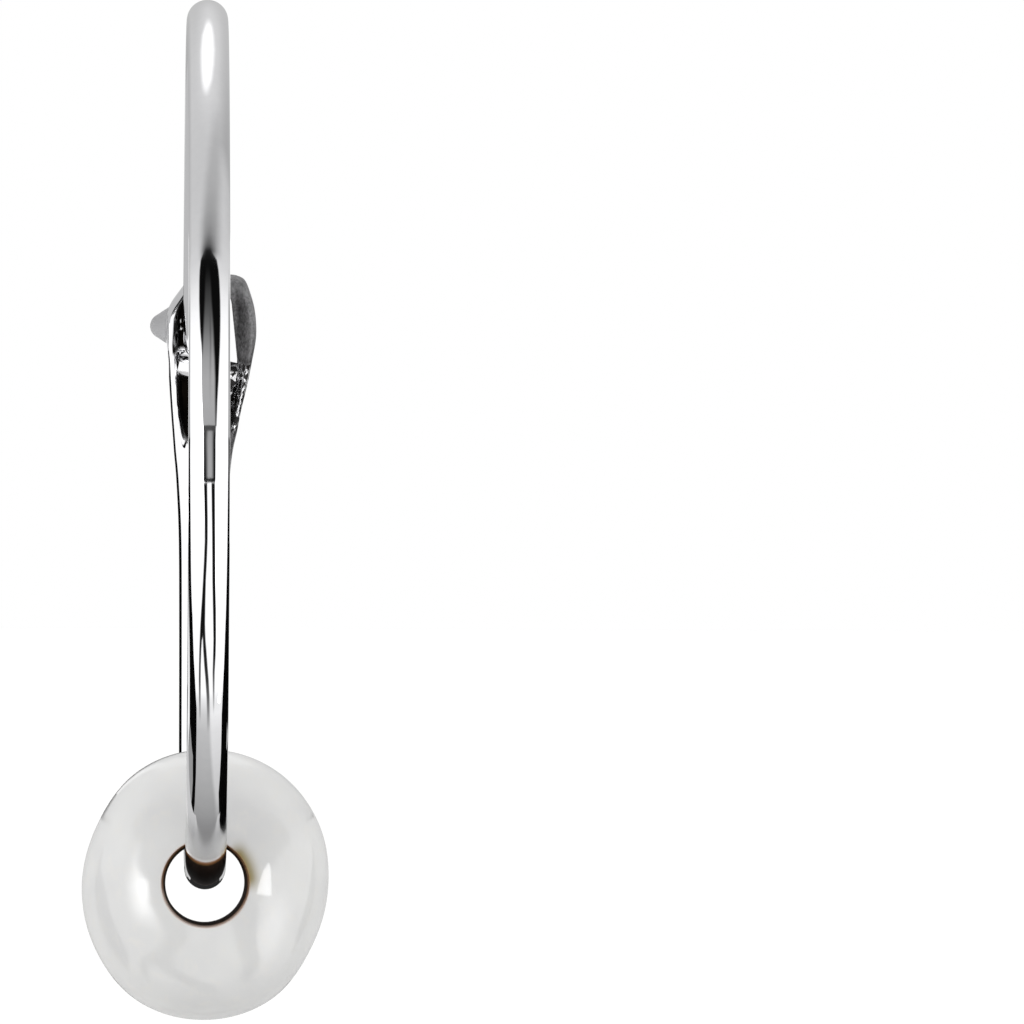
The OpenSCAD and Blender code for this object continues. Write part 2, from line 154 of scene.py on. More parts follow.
# A patch lies over those before it. Its rows are tilt, left, right, light as a share of power, and cover.
# Left out, the light is the patch's own and the cover is 1.
patches = {
    "glow round the highlight": {"soft": 0.38, "rows": [
        (42, -0.3, 0.1, 0.66, 0), (47, -0.34, 0.16, 0.7, 0.8), (53, -0.4, 0.26, 0.79), (62, -0.4, 0.42, 0.82),
        (70, -0.34, 0.44, 0.78), (78, -0.28, 0.36, 0.72, 0.8), (86, -0.2, 0.3, 0.66, 0),
    ]},
    "arch highlight, a soft box above and behind": {"soft": 0.13, "power": 1.3, "light": 1, "rows": [
        (51, -0.2, -0.06, 1, 0), (52.8, -0.27, 0, 1, 0.6), (54.8, -0.31, 0.12), (58.4, -0.35, 0.21),
        (62.4, -0.345, 0.25), (66.9, -0.27, 0.22), (69.6, -0.14, 0.16), (71.5, -0.1, 0.12, 1, 0.4),
        (73.5, -0.04, 0.06, 1, 0),
    ]},
    "grey wall at the right": {"soft": 0.34, "light": 0.5, "rows": [
        (26, 1.05, 1.5, 0.5, 0), (31, 1, 1.5, 0.48), (36.5, 0.95, 1.5), (43.2, 0.5, 1.5, 0.44),
        (50.8, 0.66, 1.5, 0.46), (60, 0.74, 1.5), (70, 0.8, 1.5, 0.52), (90, 0.85, 1.5, 0.52),
    ]},
    "grey wall at the left": {"soft": 0.1, "light": 0.48, "rows": [
        (22, -1.4, -1, 0.48, 0), (27, -1.4, -0.93), (50, -1.4, -0.9, 0.47), (90, -1.4, -0.88),
    ]},
    "smoke over the dark room": {"soft": 0.24, "rows": [
        (24.2, -0.4, 0.46, 0.34, 0), (25.6, -0.38, 0.44, 0.34), (28.1, -0.38, 0.45, 0.38),
        (29.6, -0.36, 0.46, 0.4), (31.8, -0.3, 0.46, 0.44), (36.5, -0.16, 0.5, 0.47),
        (43.2, 0.08, 0.56, 0.48, 0.8), (50, 0.26, 0.6, 0.5, 0),
    ]},
    "dark heart of the smoke": {"soft": 0.2, "rows": [
        (24, -0.34, 0.2, 0.01, 0), (24.6, -0.34, 0.2, 0.01), (25.6, -0.32, 0.2, 0.02),
        (26.6, -0.27, 0.18, 0.12, 0.95), (28.1, -0.2, 0.17, 0.25, 0.95), (29.6, -0.17, 0.2, 0.33, 0.9),
        (31.8, -0.12, 0.25, 0.38, 0.7), (36, 0, 0.25, 0.4, 0),
    ]},
    "left soft box": {"soft": 0.1, "power": 11, "light": 1, "rows": [
        (-12, -0.36, -0.28, 1, 0), (-7, -0.38, -0.26, 1, 0.6), (0, -0.39, -0.25), (8, -0.38, -0.26, 1, 0.8),
        (14, -0.36, -0.3, 1, 0),
    ]},
    "right soft box": {"soft": 0.14, "power": 5, "light": 1, "rows": [
        (-30, 0.36, 0.44, 1, 0), (-20, 0.34, 0.48, 1, 0.6), (-11, 0.34, 0.48), (-5, 0.36, 0.46, 1, 0.5),
        (-1, 0.4, 0.44, 1, 0),
    ]},
    "dark room": {"soft": 0.035, "light": 0.004, "rows": [
        (2.33, -0.306, 0.345, 0.004, 0), (2.4, -0.306, 0.345), (5.7, -0.361, 0.385), (8.3, -0.378, 0.44),
        (10.9, -0.375, 0.475), (12.9, -0.395, 0.505), (14.9, -0.453, 0.52), (16.9, -0.482, 0.525),
        (19, -0.502, 0.515), (21.7, -0.497, 0.475), (23.1, -0.478, 0.43), (24.4, -0.43, 0.35, 0.006),
        (25, -0.35, 0.2, 0.01, 0.9), (25.6, -0.26, 0.08, 0.014, 0.5), (26.2, -0.18, 0, 0.02, 0),
    ]},
    "grey light in the dark room": {"soft": 0.06, "rows": [
        (2.35, -0.316, 0.289, 0.4, 0), (2.5, -0.316, 0.289, 0.42), (5.7, -0.357, 0.267, 0.45),
        (8.3, -0.373, 0.265, 0.45), (10.9, -0.36, 0.234, 0.39), (12.8, -0.313, 0.2, 0.29),
        (14.8, -0.281, 0.175, 0.19), (16.8, -0.253, 0.136, 0.11), (18.8, -0.224, 0.087, 0.06),
        (21.5, -0.205, 0.044, 0.02), (24, -0.148, -0.028, 0.01, 0),
    ]},
    "dim streak in the grey light": {"soft": 0.05, "rows": [
        (4, 0, 0.08, 0.38, 0), (8.3, -0.02, 0.08, 0.37, 0.8), (10.9, 0, 0.08, 0.26, 0.9),
        (12.8, 0.02, 0.08, 0.15, 0.9), (14.8, 0, 0.08, 0.1, 0.9), (16.8, 0, 0.06, 0.07, 0.6),
        (19, 0, 0.04, 0.05, 0),
    ]},
    "table edge": {"soft": 0.03, "light": 0.07, "rows": [
        (-4.6, -0.279, 0.297, 0.01, 0), (-4.5, -0.279, 0.297, 0.01), (-3.8, -0.28, 0.296, 0.016),
        (-2, -0.282, 0.294, 0.035), (0.5, -0.29, 0.291, 0.055), (1.9, -0.29, 0.309), (2.4, -0.3, 0.32),
        (2.45, -0.3, 0.32, 0.07, 0),
    ]},
    "table top": {"soft": 0.09, "light": 0.42, "rows": [
        (-4.6, -0.097, 0.172, 0.42, 0), (-4.5, -0.097, 0.172), (-2, -0.1, 0.159), (0.5, -0.122, 0.156, 0.38),
        (1.7, -0.094, 0.155, 0.36), (1.8, -0.094, 0.155, 0.36, 0),
    ]},
    "table side": {"soft": 0.02, "rows": [
        (-4.6, 0.22, 0.297, 0.004, 0), (-4.5, 0.22, 0.297, 0.004), (0.5, 0.2, 0.291, 0.006),
        (1.4, 0.22, 0.3, 0.02), (1.9, 0.24, 0.3, 0.05, 0),
    ]},
    "table rim": {"soft": 0.02, "light": 0.004, "rows": [
        (-4.95, -0.278, 0.297, 0.004, 0), (-4.85, -0.278, 0.297), (-4.4, -0.278, 0.297),
        (-4.3, -0.278, 0.297, 0.004, 0),
    ]},
    "table's far rim": {"soft": 0.03, "light": 0.08, "rows": [
        (1.75, -0.3, 0.06, 0.08, 0), (1.9, -0.3, 0.07), (2.3, -0.3, 0.1), (2.45, -0.3, 0.1, 0.08, 0),
    ]},
    "pale floor at the right": {"soft": 0.1, "rows": [
        (-60, 0.5, 0.8, 0.5, 0), (-53, 0.4, 0.8, 0.64, 0.9), (-49, 0.28, 0.8, 0.67), (-43.5, 0.17, 0.8, 0.78),
        (-40, 0.12, 0.8, 0.84), (-37, 0.1, 0.8, 0.98), (-34.5, 0.1, 0.8, 1.1, 0),
    ]},
    "left cable": {"soft": 0.025, "light": 0.006, "rows": [
        (-39, -0.4, -0.345, 0.5, 0), (-37.4, -0.409, -0.347, 0.36, 0.8), (-35.1, -0.43, -0.353, 0.22),
        (-32, -0.447, -0.356, 0.05), (-29.7, -0.443, -0.356, 0.02), (-27.5, -0.433, -0.338, 0.02),
        (-26.1, -0.417, -0.312, 0.01), (-24.3, -0.397, -0.167), (-22.2, -0.363, -0.162),
        (-20.4, -0.324, -0.156), (-17.7, -0.276, -0.137), (-15, -0.233, -0.094), (-12.4, -0.2, -0.065),
        (-9.8, -0.214, -0.065), (-7.2, -0.241, -0.083), (-5, -0.268, -0.096),
        (-4.9, -0.268, -0.096, 0.006, 0),
    ]},
    "left cable's branch": {"soft": 0.03, "light": 0.01, "rows": [
        (-40.5, -0.036, 0.089, 0.5, 0), (-38.9, -0.036, 0.089, 0.42, 0.8), (-36.8, -0.041, 0.083, 0.3),
        (-34.4, -0.067, 0.073, 0.14), (-31.8, -0.126, 0.028, 0.04), (-29.6, -0.193, -0.035, 0.02),
        (-27.4, -0.246, -0.093), (-26, -0.269, -0.135), (-24, -0.302, -0.168),
        (-23.9, -0.302, -0.168, 0.01, 0),
    ]},
    "right cable": {"soft": 0.022, "light": 0.006, "rows": [
        (-37.5, 0.25, 0.3, 0.6, 0), (-35.8, 0.244, 0.306, 0.45, 0.8), (-33.4, 0.228, 0.31, 0.25),
        (-30.7, 0.212, 0.313, 0.08), (-28.2, 0.23, 0.355, 0.01), (-26, 0.24, 0.369), (-21.8, 0.211, 0.36),
        (-17.7, 0.174, 0.323), (-15, 0.165, 0.313), (-11.1, 0.148, 0.297), (-7.2, 0.123, 0.281),
        (-5, 0.11, 0.274), (-4.9, 0.11, 0.274, 0.006, 0),
    ]},
    "dark room's left corner": {"soft": 0.02, "light": 0.46, "rows": [
        (-90, -1.4, -0.8), (-47, -1.4, -0.8), (-43, -1.4, -0.8, 1), (-27, -1.4, -0.84, 1),
        (-19, -1.4, -0.955, 0.6), (-15, -1.4, -0.955, 0.03), (-3.8, -1.4, -0.94, 0.03),
        (-2, -1.4, -0.94, 0.12), (0.5, -1.4, -0.91, 0.3), (5, -1.4, -0.92), (20, -1.4, -0.92, 0.5),
        (26, -1.4, -0.93, 0.5, 0),
    ]},
    "dark room's right corner": {"soft": 0.02, "rows": [
        (-90, 0.8, 1.4, 0.46), (-27, 0.8, 1.4, 0.46), (-21, 0.955, 1.4, 0.03), (-5, 0.935, 1.4, 0.03),
        (-3.8, 0.93, 1.4, 0.06), (-2, 0.925, 1.4, 0.18), (0.5, 0.905, 1.4, 0.3), (5, 0.905, 1.4, 0.42),
        (20, 0.905, 1.4, 0.38), (26, 0.92, 1.4, 0.5, 0),
    ]},
}


def rampFrom(tree, tilt, rows):  # rows of tilt and four values, read out by tilt from first to last
    rows = sorted(rows)
    low, high = rows[0][0], rows[-1][0]
    share = addNode(tree, "MapRange", {"From Min": radians(low), "From Max": radians(high)}, {0: tilt})
    node = addNode(tree, "ValToRGB", {}, {0: share})
    ramp = node.color_ramp
    while len(ramp.elements) < len(rows):
        ramp.elements.new(0.5)
    for element, row in zip(ramp.elements, rows):
        element.position = (row[0] - low) / (high - low)
        element.color = row[1:5]
    return node


def lightStudio():
    world = bpy.data.worlds.new("softStudio")
    world.use_nodes = True
    tree = world.node_tree
    tree.nodes.clear()
    away = addNode(tree, "TexCoord").outputs["Generated"]
    mirror = addNode(tree, "VectorMath", {"operation": "SUBTRACT", 1: (0, 1, 0)}, {0: away})
    mirror = addNode(tree, "VectorMath", {"operation": "NORMALIZE"}, {0: mirror})
    facing = addNode(tree, "SeparateXYZ", {}, {0: mirror})
    toCamera = addNode(tree, "Math", {"operation": "MULTIPLY", 1: -1.0}, {0: facing.outputs["Y"]})
    tilt = addNode(tree, "Math", {"operation": "ARCTAN2"}, {0: facing.outputs["Z"], 1: toCamera})
    across = facing.outputs["X"]

    brightest = 1.2
    light = rampFrom(tree, tilt, [(t, v / brightest, 0, 0, 1) for t, v in studio["middle"]])
    light = addNode(tree, "SeparateColor", {}, {0: light})
    light = addNode(tree, "Math", {"operation": "MULTIPLY", 1: brightest}, {0: light})

    reach = 1.5  # a ramp holds 0 to 1, and stands for -reach to reach
    for name, patch in patches.items():
        rows = []
        for row in patch["rows"]:
            t, left, right, bright, cover = row + (patch.get("light"), 1)[len(row) - 3:]
            rows.append((t, left / (2 * reach) + 0.5, right / (2 * reach) + 0.5, bright, cover))
        shape = rampFrom(tree, tilt, rows)
        edges = addNode(tree, "SeparateColor", {}, {0: shape})
        inside = shape.outputs["Alpha"]
        for edge, soft in (("Red", patch["soft"]), ("Green", -patch["soft"])):
            at = addNode(tree, "Math", {
                "operation": "MULTIPLY_ADD", 1: 2 * reach, 2: -reach}, {0: edges.outputs[edge]})
            past = addNode(tree, "Math", {"operation": "SUBTRACT"}, {0: across, 1: at})
            past = addNode(tree, "MapRange", {
                "interpolation_type": "SMOOTHSTEP", "From Min": -soft, "From Max": soft}, {0: past})
            inside = addNode(tree, "Math", {"operation": "MULTIPLY"}, {0: inside, 1: past})
        power = patch.get("power", 1.0)
        bright = addNode(tree, "Math", {"operation": "MULTIPLY", 1: power}, {0: edges.outputs["Blue"]})
        light = addNode(tree, "Mix", {"label": name}, {0: inside, 2: light, 3: bright})

    ray = addNode(tree, "LightPath")
    filled = addNode(tree, "Math", {
        "operation": "MULTIPLY_ADD", 1: studio["fill"], 2: studio["even"]}, {0: light})
    light = addNode(tree, "Mix", {}, {0: ray.outputs["Is Diffuse Ray"], 2: light, 3: filled})
    light = addNode(tree, "Mix", {3: studio["backdrop"]}, {0: ray.outputs["Is Camera Ray"], 2: light})
    lit = addNode(tree, "Background", {0: (1, 1, 1, 1)}, {1: light})
    addNode(tree, "OutputWorld", {}, {0: lit})
    bpy.context.scene.world = world
    bpy.context.scene.view_settings.view_transform = "Standard"  # the photo's white stays white


lightStudio()
print("studio lit")

floor = {
    "top": -24.6,       # mm, just under the hanging pearl
    "size": 6000.0,
    "paint": "#F6F6F5", "roughness": 0.9,
}


def layFloor():
    bm = bmesh.new()
    bmesh.ops.create_grid(bm, x_segments=1, y_segments=1, size=floor["size"] / 2 * mm)
    bmesh.ops.translate(bm, verts=bm.verts, vec=(0, 0, floor["top"] * mm))
    table = meshFrom(bm, "paleTable")
    table.data.materials.append(mattPaint("whiteTablePaint", floor["paint"], floor["roughness"]))
    table.visible_glossy = False  # the studio's own lower half is what the metal mirrors


layFloor()
print("floor laid")

# Cards beside the earring that only its shine can see. An outline goes by where it shows on the wire's
# lower front: the wire's tilt there in degrees, and the share of its half width from the middle.
cardPaint = "#060606"
sideCards = {
    "leftCard": {"at": -20.0, "glow": 0.0, "outline": [     # at: mm to the side
        (1, -0.92), (-7.4, -0.895), (-13, -0.87), (-18.4, -0.84), (-23, -0.77), (-27.4, -0.715),
        (-31.9, -0.63), (-36.6, -0.54), (-40.6, -0.535), (-47.8, -0.54), (-54, -0.58), (-61.3, -0.7),
        (-65, -0.74), (-65.5, -0.9), (-50, -0.93), (-40, -0.87), (-32, -0.885), (-27, -0.905), (-22, -0.94),
        (-17, -0.97), (-12, -0.985), (1, -0.985),
    ]},
    "leftGreyCard": {"at": -19.6, "glow": 0.33, "outline": [
        (-40, -0.83), (-45, -0.7), (-50, -0.69), (-54, -0.73), (-57, -0.81), (-57, -0.89), (-50, -0.91),
        (-45, -0.9),
    ]},
    "rightCard": {"at": 20.0, "glow": 0.0, "outline": [
        (1, 0.92), (-5, 0.905), (-11.6, 0.89), (-18.7, 0.86), (-25.8, 0.8), (-33, 0.72), (-37.7, 0.668),
        (-44.3, 0.65), (-52, 0.556), (-57.5, 0.6), (-61.5, 0.68), (-62, 0.76), (-60, 0.975), (-12, 0.985),
        (1, 0.985),
    ]},
}
# Closer cards, each seen in one place: mm, either every corner or two opposite corners.
nearCards = {
    # behind the lever, the dark line along its left edge
    "stripCard": {"glow": 0.0, "corners": [
        (-1.2, 30, -8.2), (-12.5, 30, -8.2), (-19, 30, -12), (-19, 30, -18.5), (-1.2, 30, -18.5)]},
    # before the catch
    "whiteCard": {"glow": 1.15, "corners": [(-4.2, 4, -4.5), (4.2, 4, -12)]},
    # at the left of the lever's strip
    "whiteSideCard": {"glow": 1.15, "corners": [(-5, 6, -7.5), (-5, 13, -15.8)]},
    # at the left of the ear wire's back
    "greyCard": {"glow": 0.55, "corners": [(-3, 7, -1.5), (-3, 16, -7.6)]},
    # round the pearl, seen in its outermost rim
    "pearlLeftCard": {"glow": 0.62, "corners": [(-5, -0.3, -17.3), (-5, 40, -24.9)]},
    "pearlRightCard": {"glow": 0.62, "corners": [(5, -0.3, -17.3), (5, 40, -24.9)]},
    "pearlLowCard": {"glow": 0.66, "corners": [(-5, -0.3, -24.9), (5, 15, -24.9)]},
    # the dark line at the right of the wire's lower end
    "wireCard": {"glow": 0.0, "corners": [
        (1.2, -6.6, -17.4), (1.2, -5.8, -18.4), (1.2, -4.4, -19.5), (1.2, -3.9, -19.6), (1.2, -2.2, -18.9),
        (1.2, -4.1, -17.6), (1.2, -5.5, -16.6)]},
}


def mirrored(normal):  # where the camera's sight line goes on from a surface that faces this way
    return Vector((-2 * normal.y * normal.x, 1 - 2 * normal.y * normal.y, -2 * normal.y * normal.z))


def standCard(name, corners, glow):
    bm = bmesh.new()
    corners = [bm.verts.new(Vector(corner) * mm) for corner in corners]
    edges = [bm.edges.new(pair) for pair in zip(corners, corners[1:] + corners[:1])]
    bmesh.ops.contextual_create(bm, geom=edges)
    card = meshFrom(bm, name)
    for ray in ("camera", "diffuse", "transmission", "volume_scatter", "shadow"):
        setattr(card, "visible_" + ray, False)
    card.data.materials.append(mattPaint(name, cardPaint, 1.0, glow))


def allCorners(first, last):  # of a rectangle, from two opposite ones
    side = next(k for k in range(3) if first[k] != last[k])
    second, fourth = list(first), list(last)
    second[side], fourth[side] = last[side], first[side]
    return [first, second, last, fourth]


def standCards():
    for name, card in sideCards.items():
        corners = []
        for tilt, share in card["outline"]:
            tilt = radians(tilt)
            depth = sqrt(1 - share * share)
            normal = Vector((share, -cos(tilt) * depth, sin(tilt) * depth))
            spot = Vector((0, -cos(tilt), sin(tilt))) * ringRadius + normal * hoop["wireRadius"]
            spot += ringCentre
            way = mirrored(normal)
            corners.append(spot + way * ((card["at"] - spot.x) / way.x))
        standCard(name, corners, card["glow"])
    for name, card in nearCards.items():
        corners = card["corners"] if len(card["corners"]) > 2 else allCorners(*card["corners"])
        standCard(name, corners, card["glow"])


def onRing(x, radius, angle):  # angle 0 at the back, 90 at the top, as in the model
    return Vector((x, radius * cos(radians(angle)), radius * sin(radians(angle)))) + ringCentre


def stand(angle, radius, x=0.0):  # local X along world X, local Y outwards, local Z along the hoop
    turned = Matrix.Translation(ringCentre) @ Matrix.Rotation(radians(angle), 4, "X")
    return turned @ Matrix.Translation((x, radius, 0))


def standAcross(angle, radius, x=0.0):  # local Z along world X, for what runs across the hoop
    return stand(angle, radius, x) @ Matrix.Rotation(radians(90), 4, "Y")


def only(kind, geom):
    return [g for g in geom if isinstance(g, kind)]


def finishMesh(bm, name, sharpAngle=38):
    bmesh.ops.recalc_face_normals(bm, faces=bm.faces)
    piece = meshFrom(bm, name)
    piece.data.shade_smooth()
    piece.data.set_sharp_from_angle(angle=radians(sharpAngle))
    return piece


def combine(piece, operation, bm):  # union or cut with a second shape, applied to the mesh
    tool = finishMesh(bm, "tool")
    cut = piece.modifiers.new("cut", "BOOLEAN")
    cut.object, cut.operation, cut.solver = tool, operation, "EXACT"
    old = piece.data
    piece.data = bpy.data.meshes.new_from_object(piece.evaluated_get(bpy.context.evaluated_depsgraph_get()))
    piece.data.name = piece.name
    piece.modifiers.clear()
    bpy.data.meshes.remove(old)
    bpy.data.objects.remove(tool)


def sweepOn(bm, rim, places):  # carries an open rim on through places, each a matrix of the rim's own frame
    for before, after in zip(places, places[1:]):
        grown = bmesh.ops.extrude_edge_only(bm, edges=rim)["geom"]
        ends = only(bmesh.types.BMVert, grown)
        bmesh.ops.transform(bm, matrix=after @ before.inverted(), verts=ends)
        rim = [edge for edge in only(bmesh.types.BMEdge, grown) if set(edge.verts) <= set(ends)]
    return rim


def disc(radius, height, place, segments=96, edge=0.0, edgeSteps=3):  # a round bar with softened ends
    bm = bmesh.new()
    bmesh.ops.create_cone(bm, cap_ends=True, segments=segments, radius1=radius, radius2=radius, depth=height)
    if edge:
        ends = [e for e in bm.edges if abs(e.verts[0].co.z - e.verts[1].co.z) < 1e-6]
        bmesh.ops.bevel(bm, geom=ends, offset=edge, affect="EDGES", segments=edgeSteps,
                        profile=0.5, material=-1)
    bmesh.ops.transform(bm, matrix=place, verts=bm.verts)
    return bm


def spunAbout(axis, outline, steps):  # a profile of radius and height, spun once round Y or Z
    bm = bmesh.new()
    corners = [bm.verts.new(Vector((r, 0, 0)) + Vector(axis) * height) for r, height in outline]
    edges = [bm.edges.new(pair) for pair in zip(corners, corners[1:])]
    bmesh.ops.spin(bm, geom=corners + edges, axis=axis, angle=tau, steps=steps, use_merge=True)
    bmesh.ops.remove_doubles(bm, verts=bm.verts, dist=1e-5)
    return bm


hoop = {
    "wireRadius": 0.49,
    "tipAngle": 14.4, "bendEnd": 293.0, "flatAt": 297.6,    # the round wire's two ends, and where it is flat
    "flatThickness": 0.46, "flatHeight": 0.84,
    "eyeRadius": 0.62, "eyeEdge": 0.05, "pinHole": 0.24,
    "ringSteps": 360, "roundSteps": 72, "domeSteps": 12, "flatSteps": 9, "holeSteps": 48,
    # rougher where the pearl sits, and painted darker there as painted shade that dims the pearl's
    # reflection: degrees from the lowest point, where that starts and where it is full
    "dullFrom": (20.5, 22.0), "dullTo": (34.0, 28.0),
}


standCards()
print("cards stood")


def makeHoop():
    h = hoop
    bm = bmesh.new()
    ring = bmesh.ops.create_circle(bm, radius=h["wireRadius"], segments=h["roundSteps"])
    start = stand(h["tipAngle"], ringRadius)
    bmesh.ops.transform(bm, matrix=start, verts=ring["verts"])
    first = bm.edges[:]
    swept = radians(h["bendEnd"] - h["tipAngle"])
    last = bmesh.ops.spin(bm, geom=bm.verts[:] + first, cent=ringCentre, axis=(1, 0, 0),
                          angle=swept, steps=h["ringSteps"])["geom_last"]

    dome = []  # the ear wire's round tip
    for i in range(h["domeSteps"]):
        lean = radians(90 * i / h["domeSteps"])
        narrowed = Matrix.Diagonal((cos(lean), cos(lean), 1, 1))
        dome.append(start @ Matrix.Translation((0, 0, -h["wireRadius"] * sin(lean))) @ narrowed)
    rim = sweepOn(bm, first, dome)
    bmesh.ops.poke(bm, faces=bmesh.ops.contextual_create(bm, geom=rim)["faces"])

    flat = []  # the wire hammered flat towards the eye
    for i in range(h["flatSteps"] + 1):
        angle = h["bendEnd"] + (h["flatAt"] - h["bendEnd"]) * i / h["flatSteps"]
        t = smoothStep(0, 1, i / h["flatSteps"])
        thick = 1 + (h["flatThickness"] / (2 * h["wireRadius"]) - 1) * t
        high = 1 + (h["flatHeight"] / (2 * h["wireRadius"]) - 1) * t
        flat.append(stand(angle, ringRadius) @ Matrix.Diagonal((thick, high, 1, 1)))
    flat.append(stand(hingeAngle + 359, ringRadius) @ Matrix.Diagonal((thick, high, 1, 1)))  # on into the eye
    rim = sweepOn(bm, only(bmesh.types.BMEdge, last), flat)
    bmesh.ops.contextual_create(bm, geom=rim)

    piece = finishMesh(bm, "hoopWire")
    across = standAcross(hingeAngle + 360, ringRadius)
    combine(piece, "UNION", disc(h["eyeRadius"], h["flatThickness"], across, edge=h["eyeEdge"]))
    combine(piece, "DIFFERENCE", disc(h["pinHole"], drillLength, across, h["holeSteps"]))
    dulledAndShaded = piece.data.attributes.new("dulledAndShaded", "FLOAT", "POINT")
    for vert in piece.data.vertices:  # rougher where the pearl hangs, with painted shade that darkens the wire's tone there
        offLowest = abs(degrees(atan2(vert.co.z - ringCentreZ, vert.co.y)) + 90)
        dulled = smoothStep(*h["dullTo"], offLowest) * smoothStep(*h["dullFrom"], offLowest)
        dulledAndShaded.data[vert.index].value = dulled
    return piece


lever = {
    # ring angle, left, right, inner and outer radius, hollow, left wall, right wall, crown of the inner side
    "rows": [
        (-58, 0.58, 0.58, 9.74, 10.46, 0, 0.2, 0.2, 0.3),
        (-48, 0.58, 0.58, 9.78, 10.44, 0, 0.2, 0.2, 0.3),
        (-28, 0.57, 0.57, 9.8, 10.44, 0, 0.2, 0.2, 0.3),
        (-13, 0.58, 0.58, 9.8, 10.45, 0, 0.2, 0.2, 0.3),
        (-5, 0.64, 0.64, 9.8, 10.5, 0, 0.24, 0.2, 0.22),
        (-1, 0.7, 0.71, 9.8, 10.6, 0.02, 0.28, 0.2, 0.12),
        (2, 0.74, 0.82, 9.82, 10.76, 0.22, 0.3, 0.22, 0.08),
        (5, 0.78, 0.92, 9.86, 10.92, 0.66, 0.27, 0.26, 0.06),
        (8.5, 0.82, 1.07, 9.9, 11.05, 0.78, 0.26, 0.32, 0.06),
        (11.5, 0.85, 1.17, 9.94, 11.1, 0.75, 0.27, 0.38, 0.06),
        (15, 0.9, 1.27, 10, 11.13, 0.7, 0.3, 0.44, 0.06),
        (18, 0.86, 1.24, 10.16, 11.13, 0.54, 0.3, 0.4, 0.06),
        (20.3, 0.57, 1.11, 10.46, 11.1, 0.22, 0.26, 0.34, 0.06),
        (21.5, 0.34, 0.99, 10.66, 11.06, 0.04, 0.2, 0.24, 0.05),
        (22, 0.1, 0.82, 10.69, 11.02, 0.02, 0.1, 0.12, 0.04),
    ],
    "steps": 14,            # cross-sections from one row to the next
    "backPoints": 40, "frontPoints": 84, "backSquareness": 3.4,
    "rimShare": 0.42, "rightRimShare": 0.12,
    "softEdge": 0.07, "leanWidth": 0.04, "leanHeight": 0.14, "smallCrown": 0.06, "fullCrown": 0.26,
    "earRadius": 0.6, "width": 1.16, "forkWidth": 0.53, "forkRadius": 0.75, "pinHole": 0.23,
    "slotLowRadius": 0.64, "slotHighRadius": 0.5, "slotLowAngle": 10.9, "slotHighAngle": 18.2, "slotX": 0.18,
    "slotSteps": 24, "slotDepth": 1.2, "wallRadius": 10.9,
    "barRadius": 0.34, "barX": 0.09, "barLength": 1.42, "barAngle": 9.8, "barPath": 10.56, "barSlant": 12.0,
    "barTurns": 64, "barCuts": 40,
    "knobTip": 0.3, "knobSlope": 33.0, "knobFlank": 0.35, "knobRoot": 0.28, "knobRootLength": 0.14,
    "knobX": -0.985, "knobAngle": 15.6, "knobPath": 10.7, "knobSteps": 12, "knobEdge": 0.05,
    "knobTurns": 64, "knobEdgeSteps": 4, "holeSteps": 48, "earEdge": 0.06,
}
castMarks = {   # how each part of the casting was left, and where shade is painted on it: a pair says where a mark starts and where it is full
    # mm off the lever's inner side, mm deep in the pocket
    "onInner": (0.1, 0.04), "deep": (0.05, 0.16), "rightWall": (0.55, 0.25), "rawDepth": (0.4, 0.28),
    # mm to the right or left of the hoop's plane
    "rightHalf": (0.28, 0.42), "rawSide": (0.55, 0.65), "leftHalf": (-0.24, -0.34), "barUpTo": 0.5,
    # degrees along the hoop
    "rawFrom": (1.2, 2.2), "rawTo": (12.2, 11.2), "satinFrom": (10.2, 11.4), "lowSatinFrom": (-6, -4),
    "lowSatinTo": (2.5, 1.5), "darkTo": (11, 9.5), "leftWallFrom": (12.4, 13), "tipFrom": (17.5, 21.5),
    "lipFrom": (13, 16),
    # mm from the left edge, from the right edge and from the knob's axis
    "leftEdge": (0.06, 0.02), "leftWallSide": (0.075, 0.1), "lipSide": (0.3, 0.05), "knob": (0.55, 0.51),
    # the polished left rim: mm from the hoop's plane, then ring angles from which it widens, and mm a degree
    "rimX": -0.75, "rimWidens": ((14, 0.01), (17.5, 0.055)), "rimFade": (-0.02, 0.01),
    # how much lighter the lip is painted, lifting the satin's painted shade there
    "lipLitShare": 0.45, "rawTarnishAndShade": 0.95, "margin": 0.04,
    # where the left wall's painted shade and tarnish are left off: x, ring angle, reach across in mm and
    # along in degrees
    "spots": [(-0.665, 17.5, 0.032, 0.55), (-0.56, 16.2, 0.022, 0.18), (-0.67, 14.5, 0.05, 0.8),
              (-0.55, 15.3, 0.03, 0.16)],
    "spotEdge": (1.15, 0.85),
}


def through(a, b, c, d, u):  # a smooth curve through four values
    return b + 0.5 * u * ((c - a) + u * ((2 * a - 5 * b + 4 * c - d) + u * (3 * (b - c) + d - a)))


def bowed(v, power):
    return copysign(abs(v) ** (2 / power), v)


def leverRow(s):
    rows = lever["rows"]
    i = min(int(s), len(rows) - 1)
    near = [rows[min(max(k, 0), len(rows) - 1)] for k in (i - 1, i, i + 1, i + 2)]
    return [through(*values, s - i) for values in zip(*near)]


def hollowDepth(row, across):  # of the pocket behind the catch, at this distance from the middle line
    angle, left, right, front, back, bowl, leftWall, rightWall, crown = row
    wall, rim = (leftWall, lever["rimShare"]) if across < 0 else (rightWall, lever["rightRimShare"])
    inward = max((left + right) / 2 - lever["leanWidth"] - abs(across), 0.0)
    return max(bowl, 0) * smoothStep(rim * wall, wall, inward)


